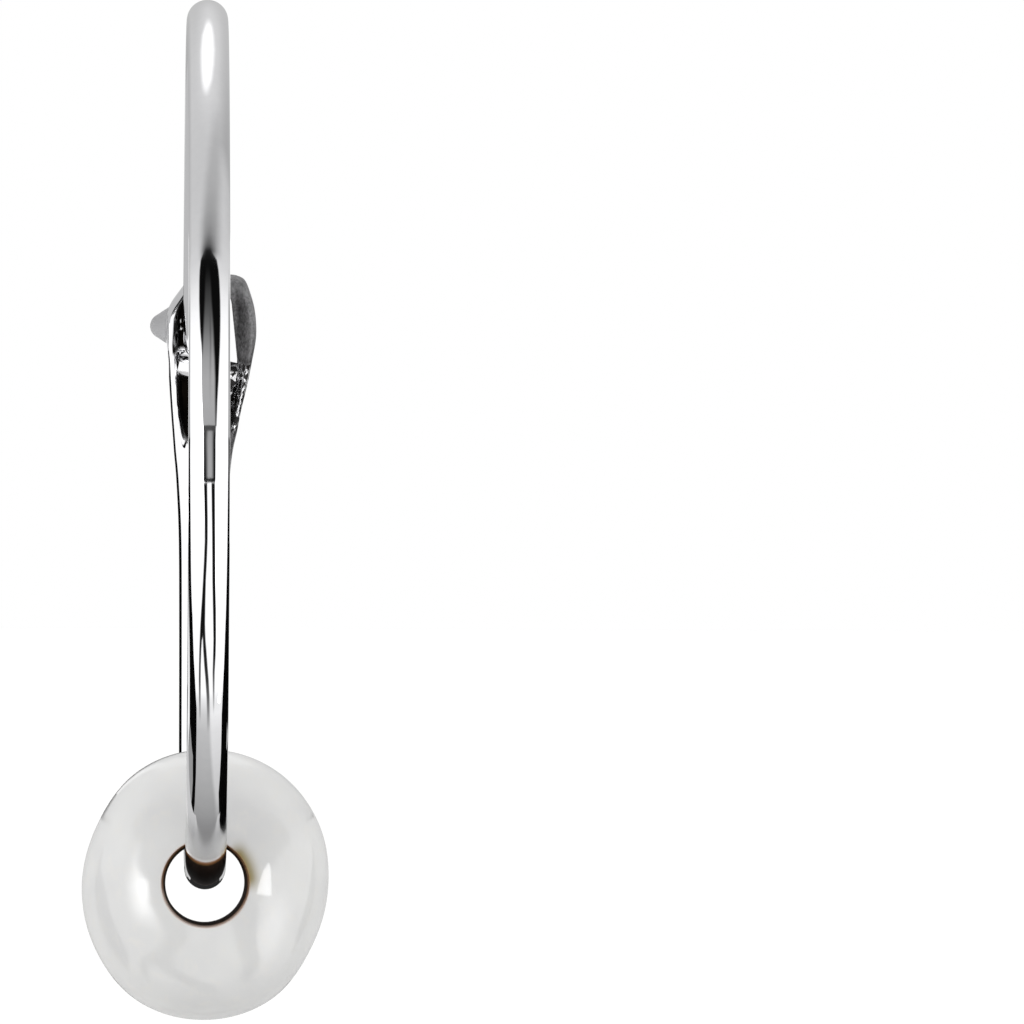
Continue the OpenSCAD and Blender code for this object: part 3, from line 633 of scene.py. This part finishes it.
def innerRadius(row, across):  # the lever's inner side there
    v = lever
    angle, left, right, front, back, bowl, leftWall, rightWall, crown = row
    wide = (left + right) / 2 - v["leanWidth"]
    inward = max(wide - abs(across), 0.0)
    crownShare = min(max((crown - v["smallCrown"]) / (v["fullCrown"] - v["smallCrown"]), 0.0), 1.0)
    edge = v["softEdge"] + crownShare * (wide - v["softEdge"])  # the strip is crowned all across
    if inward < edge:
        front += crown * (1 - sqrt(max(0.0, 1 - (1 - inward / edge) ** 2)))
    return front + hollowDepth(row, across)


def leverPoint(s, turn):  # s runs along the lever, turn from 0 to 1 once round its cross-section
    v = lever
    angle, left, right, front, back, bowl, leftWall, rightWall, crown = leverRow(s)
    middle, half = (right - left) / 2, (left + right) / 2
    backShare = v["backPoints"] / (v["backPoints"] + v["frontPoints"])
    widest = front + crown + v["leanHeight"]
    if turn < backShare:
        lean = pi * turn / backShare
        x = middle + half * bowed(cos(lean), v["backSquareness"])
        return onRing(x, widest + (back - widest) * bowed(sin(lean), v["backSquareness"]), angle)
    across = -cos(pi * (turn - backShare) / (1 - backShare)) * (half - v["leanWidth"])
    return onRing(middle + across, innerRadius(leverRow(s), across), angle)


def barPlace():
    slant = Matrix.Rotation(radians(lever["barSlant"]), 4, "Y")
    return stand(lever["barAngle"], lever["barPath"], lever["barX"]) @ slant


def markFinish(piece):  # writes the marks that the casting's material reads
    def mark(name, value):
        return smoothStep(*castMarks[name], value)

    m = castMarks
    names = ("satin", "satinShade", "tarnishAndShade", "raw")
    marks = {name: piece.data.attributes.new(name, "FLOAT", "POINT") for name in names}
    rows = lever["rows"]
    knobMiddle = onRing(0, lever["knobPath"], lever["knobAngle"]) - ringCentre
    toBar = barPlace().inverted()
    for vert in piece.data.vertices:
        x, y, z = vert.co - ringCentre
        radius, angle = hypot(y, z), degrees(atan2(z, y))
        offBar = toBar @ vert.co
        onBar = hypot(offBar.y, offBar.z) < lever["barRadius"] + 0.01
        if onBar and x < m["barUpTo"] or angle < rows[0][0] or angle > rows[-1][0] + 2:
            continue  # the bar is polished up to the raw corner
        angle = min(angle, rows[-1][0] - 0.01)
        i = max(k for k in range(len(rows) - 1) if rows[k][0] <= angle)
        row = leverRow(i + (angle - rows[i][0]) / (rows[i + 1][0] - rows[i][0]))
        middle, half = (row[2] - row[1]) / 2, (row[1] + row[2]) / 2
        across = min(max(x - middle, -half + m["margin"]), half - m["margin"])
        behind = radius - innerRadius(row, across)
        fromLeft, fromRight = half + x - middle, half - x + middle

        onInner = mark("onInner", abs(behind))  # 1 on the inner side, 0 on the back and the bar
        deep = mark("deep", hollowDepth(row, across)) * onInner
        right = mark("rightHalf", x)
        wall = right * mark("rightWall", behind)
        knob = mark("knob", hypot(y - knobMiddle.y, z - knobMiddle.z)) * mark("leftEdge", fromLeft)
        rough = mark("rawSide", x) * mark("rawFrom", angle) * mark("rawTo", angle)
        rough *= 1 if onBar else mark("rawDepth", behind)
        lip = max(mark("tipFrom", angle), mark("lipSide", fromRight) * mark("lipFrom", angle))
        rim = m["rimX"] + sum(rate * max(angle - start, 0) for start, rate in m["rimWidens"])
        leftWall = (1 - right) * onInner * mark("leftWallSide", half - m["margin"] - abs(across))
        leftWall *= mark("leftWallFrom", angle) * mark("leftHalf", x) * mark("rimFade", x - rim)
        shadeGap = max(mark("spotEdge", hypot((x - s[0]) / s[2], (angle - s[1]) / s[3])) for s in m["spots"])
        lowSatin = onInner * right * mark("lowSatinFrom", angle) * mark("lowSatinTo", angle)

        found = {
            "satin": max(knob, wall * mark("satinFrom", angle), lowSatin),
            # painted shade on the satin skin: full but on the knob, less at the lip
            "satinShade": (1 - knob) * (1 - m["lipLitShare"] * lip),
            # tarnish with painted shade: near black in the pocket, in the raw corner and on the left inner
            # wall
            "tarnishAndShade": max(m["rawTarnishAndShade"] * rough, deep * mark("darkTo", angle), (1 - shadeGap) * leftWall),
            "raw": rough,
        }
        for name, value in found.items():
            marks[name].data[vert.index].value = value


def makeLever():
    v = lever
    along = (len(v["rows"]) - 1) * v["steps"]
    around = v["backPoints"] + v["frontPoints"]
    bm = bmesh.new()
    bmesh.ops.create_grid(bm, x_segments=along, y_segments=around, size=0.5)
    for vert in bm.verts:  # the flat grid is rolled up into the lever
        s, turn = (vert.co.x + 0.5) * (len(v["rows"]) - 1), vert.co.y + 0.5
        vert.co = leverPoint(s, turn % 1.0)
    bmesh.ops.remove_doubles(bm, verts=bm.verts, dist=1e-5)
    bmesh.ops.dissolve_degenerate(bm, edges=bm.edges, dist=1e-6)
    bmesh.ops.holes_fill(bm, edges=bm.edges, sides=0)
    piece = finishMesh(bm, "leverCatch")

    slope = radians(v["knobSlope"])  # the knob: a round tip, a widening flank and a root that narrows again
    leans = [(pi / 2 - slope) * i / v["knobSteps"] for i in range(v["knobSteps"] + 1)]
    outline = [(v["knobTip"] * sin(lean), -v["knobTip"] * cos(lean)) for lean in leans]
    widest = outline[-1][0] + v["knobFlank"] * tan(slope)
    flankEnd = outline[-1][1] + v["knobFlank"]
    outline += [(widest, flankEnd), (v["knobRoot"], flankEnd + v["knobRootLength"])]
    bm = spunAbout((0, 0, 1), outline, v["knobTurns"])
    rim = [e for e in bm.edges if all(abs(vert.co.z - flankEnd) < 1e-5 for vert in e.verts)]
    bmesh.ops.bevel(bm, geom=rim, offset=v["knobEdge"], affect="EDGES", segments=v["knobEdgeSteps"],
                    profile=0.5, material=-1)
    bmesh.ops.holes_fill(bm, edges=bm.edges, sides=0)
    bmesh.ops.transform(bm, matrix=standAcross(v["knobAngle"], v["knobPath"], v["knobX"]), verts=bm.verts)
    combine(piece, "UNION", bm)

    low, high = v["slotLowRadius"], v["slotHighRadius"]  # the slot: two round ends and the taper between them
    apart = v["wallRadius"] * radians(v["slotHighAngle"] - v["slotLowAngle"])
    taper = asin((low - high) / apart)
    bm = bmesh.new()
    corners = []
    ends = (high, apart, taper, pi - taper), (low, 0, pi - taper, tau + taper)
    for radius, height, first, last in ends:
        for i in range(v["slotSteps"] + 1):
            lean = first + (last - first) * i / v["slotSteps"]
            corners.append(bm.verts.new((radius * cos(lean), height + radius * sin(lean), 0)))
    bmesh.ops.contextual_create(bm, geom=corners)
    drawn = bmesh.ops.extrude_face_region(bm, geom=bm.faces[:])["geom"]
    bmesh.ops.translate(bm, verts=only(bmesh.types.BMVert, drawn), vec=(0, 0, v["slotDepth"]))
    bmesh.ops.translate(bm, verts=bm.verts, vec=(0, 0, -v["slotDepth"] / 2))
    outwards = Matrix(((1, 0, 0, 0), (0, 0, 1, 0), (0, 1, 0, 0), (0, 0, 0, 1)))
    place = stand(v["slotLowAngle"], v["wallRadius"], v["slotX"]) @ outwards
    bmesh.ops.transform(bm, matrix=place, verts=bm.verts)
    combine(piece, "DIFFERENCE", bm)

    sideways = Matrix.Rotation(radians(90), 4, "Y")
    bar = disc(v["barRadius"], v["barLength"], barPlace() @ sideways, v["barTurns"])
    longEdges = [e for e in bar.edges if e.calc_length() > v["barLength"] - 0.01]
    bmesh.ops.subdivide_edges(bar, edges=longEdges, cuts=v["barCuts"])
    combine(piece, "UNION", bar)

    hinge = standAcross(hingeAngle, ringRadius)
    combine(piece, "UNION", disc(v["earRadius"], v["width"], hinge, edge=v["earEdge"]))
    combine(piece, "DIFFERENCE", disc(v["forkRadius"], v["forkWidth"], hinge))
    combine(piece, "DIFFERENCE", disc(v["pinHole"], drillLength, hinge, v["holeSteps"]))
    markFinish(piece)
    return piece


pin = {
    "shaftRadius": 0.21, "reach": 0.6,
    "headRadius": 0.34, "headHeight": 0.12, "headSteps": 10, "roundSteps": 64,
}


def makePin():
    p = pin
    domeRadius = (p["headRadius"] ** 2 + p["headHeight"] ** 2) / (2 * p["headHeight"])
    outline = [(p["shaftRadius"], 0.0), (p["shaftRadius"], p["reach"])]
    for i in range(p["headSteps"] + 1):
        r = p["headRadius"] * (1 - i / p["headSteps"])
        outline.append((r, p["reach"] + p["headHeight"] - domeRadius + sqrt(domeRadius ** 2 - r * r)))
    bm = spunAbout((0, 0, 1), outline, p["roundSteps"])
    bmesh.ops.mirror(bm, geom=bm.verts[:] + bm.edges[:] + bm.faces[:], axis="Z", merge_dist=1e-5)
    bmesh.ops.transform(bm, matrix=standAcross(hingeAngle, ringRadius), verts=bm.verts)
    return finishMesh(bm, "hingeRivet")


pearl = {
    # the outline's radius at each hour, from 3 o'clock round by way of 12
    "clock": (2.94, 3.1, 3.23, 3.25, 3.16, 2.95, 2.93, 3.01, 3.17, 3.19, 3.13, 2.93),
    "thickness": 4.0, "squareness": 2.2, "holeRadius": 0.95, "holeStraight": 2.9, "holeFlare": 0.1,
    "centreZ": -20.117, "holeZ": -20.04,
    "flareEnd": 0.945,      # the flare ends at this share of the pearl's half thickness
    "brownTo": 0.35,        # share of the flare's width browned like the bore, with the bore's painted shade
    "edgeBrown": 0.2,       # how brown its edge is
    "rimWidth": 0.035,      # mm of the face beside the hole where the brown fades out
    "roundSteps": 160, "faceSteps": 52, "halvings": 40,
    # an old stain at the hole's upper right, in degrees and mm
    "stainFrom": (-14, 8), "stainTo": (60, 40), "stainWidth": 0.2,
}


def outlineShare(x, z):  # 0 in the pearl's middle, 1 on its outline
    turn = atan2(z, x) % tau / tau * 12
    i = int(turn) % 12
    clock = pearl["clock"]
    reach = through(*(clock[(i + k) % 12] for k in (11, 0, 1, 2)), turn - int(turn))
    return hypot(x, z) / reach


def makePearl():
    p = pearl
    steps = p["faceSteps"]
    flared = p["holeRadius"] + p["holeFlare"]
    half = p["thickness"] / 2
    straight = p["holeStraight"] / 2
    brownRadius = p["holeRadius"] + p["holeFlare"] * p["brownTo"]
    bore = [(p["holeRadius"], 0.0), (p["holeRadius"], straight),
            (brownRadius, straight + p["brownTo"] * (half * p["flareEnd"] - straight))]
    face = [(flared + k, half) for k in range(len(bore), len(bore) + steps + 2)]  # 1 mm apart, and set below
    bm = spunAbout((0, 1, 0), bore + face, p["roundSteps"])
    drop = p["centreZ"] - p["holeZ"]
    for vert in bm.verts:
        k = round(hypot(vert.co.x, vert.co.z) - flared) - len(bore)
        if k < 0:
            continue
        turn = atan2(vert.co.z, vert.co.x)
        x, z = cos(turn), sin(turn)
        near, far = flared, p["thickness"]
        for _ in range(p["halvings"]):  # the outline's distance from the hole's axis in this direction
            r = (near + far) / 2
            near, far = (r, far) if outlineShare(x * r, z * r - drop) < 1 else (near, r)
        inner = flared + p["rimWidth"]
        lean = radians(90) * (k - 1) / steps
        r = flared if k == 0 else inner + (far - inner) * sin(lean)
        share = min(outlineShare(x * r, z * r - drop), 1.0)
        y = half * (1 - share ** p["squareness"]) ** (1 / p["squareness"]) if k <= steps else 0.0
        vert.co = (x * r, y, z * r)
    bmesh.ops.mirror(bm, geom=bm.verts[:] + bm.edges[:] + bm.faces[:], axis="Y", merge_dist=1e-4)
    bmesh.ops.remove_doubles(bm, verts=bm.verts, dist=1e-4)
    piece = finishMesh(bm, "pearlBead", 30)

    drilled = piece.data.attributes.new("drilled", "FLOAT", "POINT")
    stain = piece.data.attributes.new("stain", "FLOAT", "POINT")
    for vert in piece.data.vertices:
        x, y, z = vert.co
        away = hypot(x, z) - flared
        brown = p["edgeBrown"] if away < 1e-4 else 0.0
        # 1 in the bore and the inner flare, which take the dark brown and painted shade
        drilled.data[vert.index].value = 1.0 if hypot(x, z) < brownRadius + 1e-4 else brown
        turn = degrees(atan2(z, x))
        here = smoothStep(*p["stainFrom"], turn) * smoothStep(*p["stainTo"], turn) if y < 0 else 0.0
        stain.data[vert.index].value = here * exp(-(max(away, 0) / p["stainWidth"]) ** 2)
    piece.data.transform(Matrix.Translation((0, 0, p["holeZ"])))
    return piece


windowCard = {   # a bright window's corner, mirrored at the pearl's right: mm from the pearl's middle
    "away": 8.0, "glow": 7.0,
    "outline": [(1.53, 0.58), (1.57, -0.25), (1.23, -0.18), (1.28, 0.04), (1.4, 0.38)],
}


def pearlFace(x, z):  # the near face of the pearl there
    power = pearl["squareness"]
    return Vector((x, -pearl["thickness"] / 2 * (1 - outlineShare(x, z) ** power) ** (1 / power), z))


def standWindowCard():
    corners = []
    for x, z in windowCard["outline"]:
        spot = pearlFace(x, z)
        beside, above = pearlFace(x + 0.01, z), pearlFace(x, z + 0.01)
        normal = (beside - spot).cross(above - spot).normalized()
        corners.append(spot + mirrored(normal) * windowCard["away"] + Vector((0, 0, pearl["centreZ"])))
    standCard("windowCard", corners, windowCard["glow"])


standWindowCard()


def dress(piece, body, node, material):
    piece.data.transform(Matrix.Scale(mm, 4))
    piece.data.materials.append(material)
    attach(piece, body)
    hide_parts(node)


polish = {
    "silver": "#F4F4F5", "shade": "#EDEDEF",
    "wireShine": (0.02, 0.055), "castShine": (0.025, 0.06),     # roughness, from clean places to wiped ones
    "dulledAndShaded": "#CECECF", "dulledRough": 0.22,
    "tarnishAndShade": "#16120F", "tarnishAndShadeRough": 0.6,  # polishing compound and tarnish left deep in the casting, and painted shade in the pocket and on the left inner wall
    # painted shade: a darker tone where the pearl sits, dimming its reflection in the wire
    "satin": "#D8D8D9", "satinRough": 0.95,     # the skin of the casting, brushed
    "shadedSatin": "#7C7B7C", "darkRough": 0.7,  # and the same skin painted darker, as painted shade inside the catch
    "swell": 1.5, "swellDepth": 0.0016,         # mm: the slow swells that a buffing wheel leaves
    "wipe": 0.22, "wipeDepth": 0.00012,         # mm: fine wipe marks, drawn coarser than they are
    "grain": 0.07, "grainDepth": 0.008,         # mm: the casting's sand-like skin
    "flow": 0.26, "flowDepth": 0.08,            # mm: folds where the metal ran into the mould
    "vein": 0.26,
}


def buffed(tree, place, shine):  # a wheel's slow swells and fine wipe marks, in tone, roughness and relief
    swell, wipe = (addNode(tree, "TexNoise", {
        "Scale": perMm(polish[name]), "Detail": detail}, {"Vector": place})
        for name, detail in (("swell", 1.0), ("wipe", 3.0)))
    tone = addNode(tree, "Mix", {"data_type": "RGBA", 6: polish["silver"], 7: polish["shade"]}, {0: wipe})
    rough = addNode(tree, "MapRange", {
        "From Min": 0.3, "From Max": 0.7, "To Min": shine[0], "To Max": shine[1]}, {0: wipe})
    swells = addNode(tree, "Bump", {"Distance": polish["swellDepth"] * mm}, {"Height": swell})
    relief = addNode(tree, "Bump", {"Distance": polish["wipeDepth"] * mm}, {"Height": wipe, "Normal": swells})
    return tone, rough, relief


def polishedSilver():  # rhodium-plated silver: near white, mirror bright, with faint swells from the wheel, and painted shade where the pearl sits
    material, tree, surface = newMaterial("rhodiumPlatedSilver")
    place = addNode(tree, "TexCoord").outputs["Object"]
    tone, rough, relief = buffed(tree, place, polish["wireShine"])
    dulledAndShaded = addNode(tree, "Attribute", {"attribute_name": "dulledAndShaded"}).outputs["Fac"]
    # painted shade near the pearl: a darker tone, and rougher
    tone = addNode(tree, "Mix", {"data_type": "RGBA", 7: polish["dulledAndShaded"]}, {0: dulledAndShaded, 6: tone})
    rough = addNode(tree, "Mix", {3: polish["dulledRough"]}, {0: dulledAndShaded, 2: rough})
    surface.inputs["Metallic"].default_value = 1.0
    plugIn(tree, surface, {"Base Color": tone, "Roughness": rough, "Normal": relief})
    return material


def castSilver():  # lost-wax cast silver: buffed outside, satin or raw and tarnished inside the catch, with painted shade on the satin skin and in the tarnish
    material, tree, surface = newMaterial("castSilver")
    place = addNode(tree, "TexCoord").outputs["Object"]
    buff, shine, relief = buffed(tree, place, polish["castShine"])
    satin, satinShade, tarnishAndShade, raw = (addNode(tree, "Attribute", {"attribute_name": name}).outputs["Fac"]
                                 for name in ("satin", "satinShade", "tarnishAndShade", "raw"))
    grain = addNode(tree, "TexNoise", {"Scale": perMm(polish["grain"]), "Detail": 3.0}, {"Vector": place})
    flow = addNode(tree, "TexNoise", {
        "Scale": perMm(polish["flow"]), "Detail": 4.0, "Roughness": 0.6, "Distortion": 1.2
    }, {"Vector": place})
    vein = addNode(tree, "TexVoronoi", {
        "feature": "DISTANCE_TO_EDGE", "Scale": perMm(polish["vein"])}, {"Vector": place})

    # painted shade: the satin skin darker inside the catch than on the knob
    skin = addNode(tree, "Mix", {"data_type": "RGBA", 6: polish["satin"], 7: polish["shadedSatin"]}, {0: satinShade})
    speckle = addNode(tree, "Math", {"operation": "ADD"}, {0: flow, 1: grain})
    mottle = addNode(tree, "MapRange", {
        "From Min": 0.78, "From Max": 1.22, "To Min": 0.55, "To Max": 1.45}, {0: speckle})
    mottle = addNode(tree, "Mix", {2: 1.0}, {0: satinShade, 3: mottle})
    skin = addNode(tree, "VectorMath", {"operation": "SCALE"}, {0: skin, "Scale": mottle})
    tone = addNode(tree, "Mix", {"data_type": "RGBA"}, {0: satin, 6: buff, 7: skin})

    bare = addNode(tree, "MapRange", {  # thin bright folds left out of the painted shade and tarnish
        "interpolation_type": "SMOOTHSTEP", "From Min": 0.13, "From Max": 0.07}, {0: vein})
    blob = addNode(tree, "MapRange", {
        "interpolation_type": "SMOOTHSTEP", "From Min": 0.58, "From Max": 0.62}, {0: flow})
    bare = addNode(tree, "Math", {"operation": "MAXIMUM"}, {0: bare, 1: blob})
    bare = addNode(tree, "Math", {"operation": "MULTIPLY"}, {0: bare, 1: raw})
    tarnishedAndShaded = addNode(tree, "Math", {"operation": "SUBTRACT", 0: 1.0}, {1: bare})
    # painted shade and tarnish: near black, but for the bare folds
    tarnishedAndShaded = addNode(tree, "Math", {"operation": "MULTIPLY"}, {0: tarnishedAndShaded, 1: tarnishAndShade})
    tone = addNode(tree, "Mix", {"data_type": "RGBA", 7: polish["tarnishAndShade"]}, {0: tarnishedAndShaded, 6: tone})

    brushed = addNode(tree, "Mix", {2: polish["satinRough"], 3: polish["darkRough"]}, {0: satinShade})
    rough = addNode(tree, "Mix", {}, {0: satin, 2: shine, 3: brushed})
    rough = addNode(tree, "Mix", {3: polish["tarnishAndShadeRough"]}, {0: tarnishedAndShaded, 2: rough})
    pits = addNode(tree, "Math", {"operation": "MULTIPLY"}, {0: grain, 1: satin})
    relief = addNode(tree, "Bump", {"Distance": polish["grainDepth"] * mm}, {
        "Height": pits, "Normal": relief})
    folds = addNode(tree, "Math", {"operation": "MULTIPLY"}, {0: flow, 1: raw})
    relief = addNode(tree, "Bump", {"Distance": polish["flowDepth"] * mm}, {
        "Height": folds, "Normal": relief})
    surface.inputs["Metallic"].default_value = 1.0
    plugIn(tree, surface, {"Base Color": tone, "Roughness": rough, "Normal": relief})
    return material


nacreLook = {
    "white": "#D8D8D7", "cloud": "#D1D1D1", "warm": "#D9D7D3",
    "cloudSize": 1.7,                           # mm: thicker and thinner places in the nacre
    "layer": 0.3, "layerDepth": 0.001,        # mm: the steps of its layers, drawn coarser than they are
    "ripple": 2.2, "rippleDepth": 0.02,        # mm: a grown surface is never quite even
    "edge": "#B07C4C", "core": "#2E2119", "coreRough": 0.75,    # the drilled hole: brown at its edge, and inside dark brown with painted shade
    "stain": "#8E8052",
    "body": {"Specular IOR Level": 0.25, "Coat Roughness": 0.07},
}


def nacre():  # white nacre: a soft milky body under a clear, glossy skin, browned where it was drilled, with painted shade inside the hole
    material, tree, surface = newMaterial("whiteNacre")
    look = nacreLook
    place = addNode(tree, "TexCoord").outputs["Object"]
    cloud, layer, ripple = (addNode(tree, "TexNoise", {
        "Scale": perMm(look[name]), "Detail": detail, "Distortion": bend}, {"Vector": place})
        for name, detail, bend in (("cloudSize", 2.0, 0.0), ("layer", 4.0, 0.6), ("ripple", 0.0, 0.0)))
    stain, drilled = (addNode(tree, "Attribute", {"attribute_name": name}).outputs["Fac"]
                      for name in ("stain", "drilled"))
    clouded = addNode(tree, "MapRange", {"From Min": 0.35, "From Max": 0.65}, {0: cloud})
    warmed = addNode(tree, "MapRange", {"From Min": 0.5, "From Max": 0.75, "To Max": 0.5}, {0: layer})
    edge = addNode(tree, "MapRange", {"From Max": 0.45}, {0: drilled})
    # painted shade: the bore and the inner flare darkened to near black
    core = addNode(tree, "MapRange", {"From Min": 0.35, "From Max": 0.9}, {0: drilled})

    tone = addNode(tree, "Mix", {"data_type": "RGBA", 6: look["white"], 7: look["cloud"]}, {0: clouded})
    for name, share in (("warm", warmed), ("stain", stain), ("edge", edge), ("core", core)):
        tone = addNode(tree, "Mix", {"data_type": "RGBA", 7: look[name]}, {0: share, 6: tone})
    rough = addNode(tree, "MapRange", {"To Min": 0.28, "To Max": 0.36}, {0: cloud})
    rough = addNode(tree, "Mix", {3: look["coreRough"]}, {0: core, 2: rough})
    relief = addNode(tree, "Bump", {"Distance": look["rippleDepth"] * mm}, {"Height": ripple})
    relief = addNode(tree, "Bump", {"Distance": look["layerDepth"] * mm}, {"Height": layer, "Normal": relief})
    coat = addNode(tree, "Math", {"operation": "SUBTRACT", 0: 1.0}, {1: core})
    for name, value in look["body"].items():
        surface.inputs[name].default_value = value
    plugIn(tree, surface, {"Base Color": tone, "Roughness": rough, "Normal": relief, "Coat Weight": coat})
    return material


silver = polishedSilver()
dress(makeHoop(), "hoop", "hoop", silver)
print("hoop made")
dress(makeLever(), "lever", "lever", castSilver())
print("lever made")
dress(makePin(), "lever", "hinge_pin", silver)
print("rivet made")
dress(makePearl(), "pearl", "pearl", nacre())
print("pearl made")
